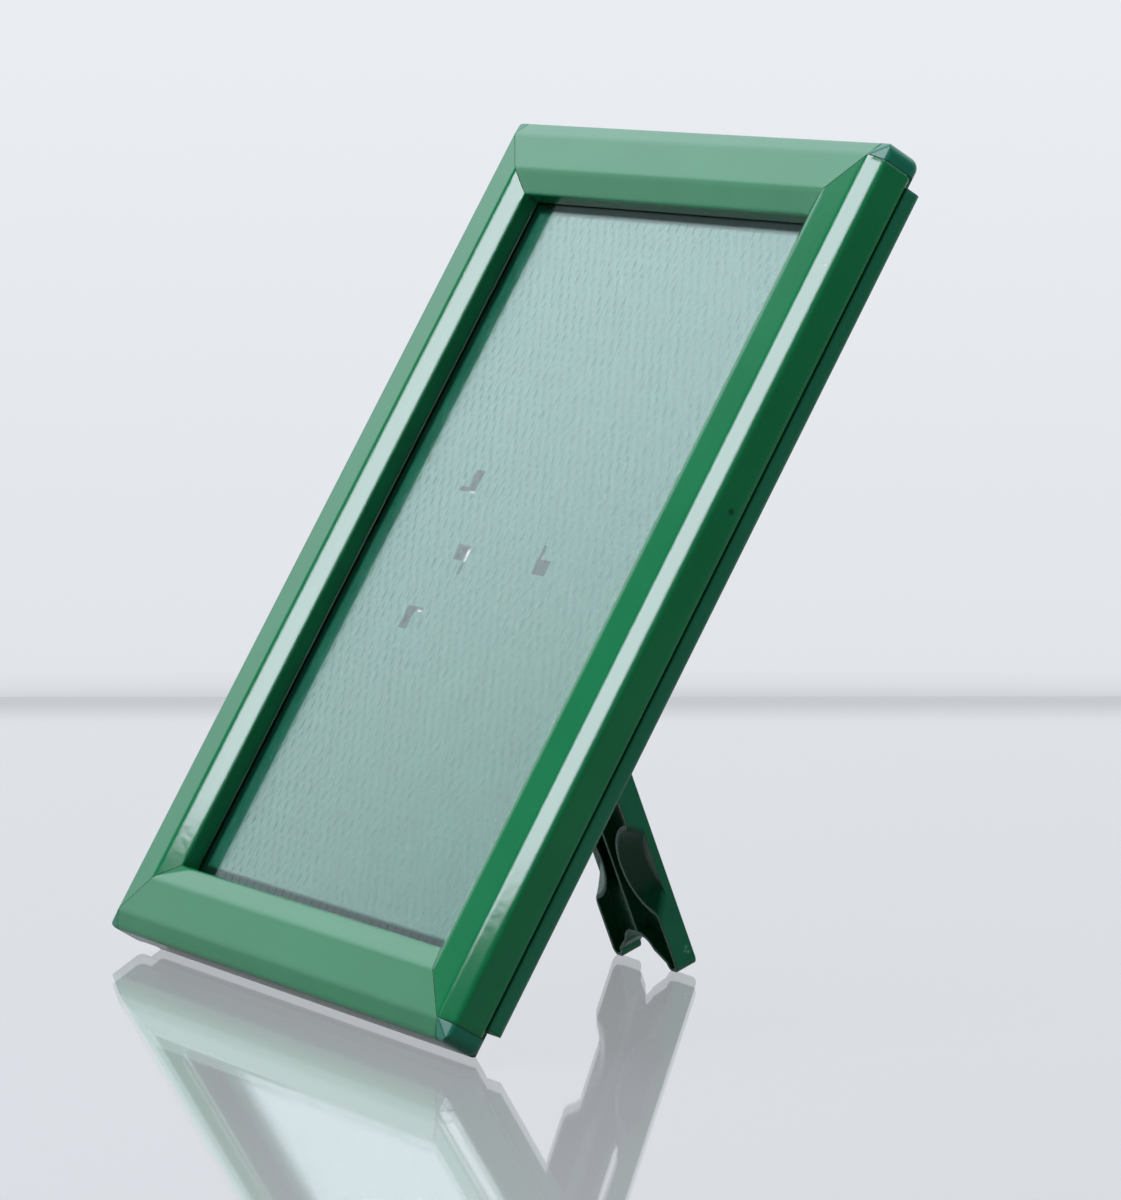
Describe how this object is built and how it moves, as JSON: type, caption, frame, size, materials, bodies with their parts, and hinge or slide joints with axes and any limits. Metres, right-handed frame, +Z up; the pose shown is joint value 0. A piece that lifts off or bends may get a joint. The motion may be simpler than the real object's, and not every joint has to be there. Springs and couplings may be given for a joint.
{
  "type": "clip frame",
  "caption": "Picture frame whose mitred front covers snap open on sprung hinges, with a clear sheet over a back panel, standing on a folding strut",
  "frame": {"origin": "Bottom centre of the bounding box of the standing frame, strut out: the table is z = 0.", "axes": "+X to the viewer's right, the way the short rails run and the axis of the strut's pins. +Y to the rear, away from the viewer. +Z up. The picture leans back 31 degrees from upright."},
  "size_m": [0.123, 0.093, 0.1463],
  "materials": {
    "green_coating": "gloss",
    "cap_plastic": "satin",
    "zinc_steel": "satin",
    "spring_steel": "gloss",
    "panel_plastic": "satin",
    "clear_plastic": "embossed gloss",
    "strut_plastic": "satin"
  },
  "bodies": {
    "frame": {"base_rail_left": "green_coating", "base_rail_right": "green_coating", "base_rail_top": "green_coating", "base_rail_bottom": "green_coating", "corner_cap_bottom_left": "cap_plastic", "corner_cap_bottom_right": "cap_plastic", "corner_cap_top_right": "cap_plastic", "corner_cap_top_left": "cap_plastic", "corner_bracket_bottom_left": "zinc_steel", "corner_bracket_bottom_right": "zinc_steel", "corner_bracket_top_right": "zinc_steel", "corner_bracket_top_left": "zinc_steel", "leaf_springs_left": "spring_steel", "leaf_springs_right": "spring_steel", "leaf_springs_top": "spring_steel", "leaf_springs_bottom": "spring_steel", "back_panel": "panel_plastic", "clear_sheet": "clear_plastic"},
    "left_cover": {"snap_cover_left": "green_coating"},
    "right_cover": {"snap_cover_right": "green_coating"},
    "top_cover": {"snap_cover_top": "green_coating"},
    "bottom_cover": {"snap_cover_bottom": "green_coating"},
    "strut": {"strut": "strut_plastic"}
  },
  "joints": [
    {"name": "left_cover_hinge", "type": "hinge", "parent": "frame", "child": "left_cover", "pos_m": [-0.06025, 0.00046, 0.07272], "axis": [0, -0.515, -0.8572], "range_deg": [0, 90]},
    {"name": "right_cover_hinge", "type": "hinge", "parent": "frame", "child": "right_cover", "pos_m": [0.06025, 0.00046, 0.07272], "axis": [0, 0.515, 0.8572], "range_deg": [0, 90]},
    {"name": "top_cover_hinge", "type": "hinge", "parent": "frame", "child": "top_cover", "pos_m": [0, 0.04257, 0.14279], "axis": [-1, 0, 0], "range_deg": [0, 90]},
    {"name": "bottom_cover_hinge", "type": "hinge", "parent": "frame", "child": "bottom_cover", "pos_m": [0, -0.04164, 0.00264], "axis": [1, 0, 0], "range_deg": [0, 90]},
    {"name": "strut_hinge", "type": "hinge", "parent": "frame", "child": "strut", "pos_m": [0, 0.00303, 0.07117], "axis": [-1, 0, 0], "range_deg": [0, 49]}
  ]
}
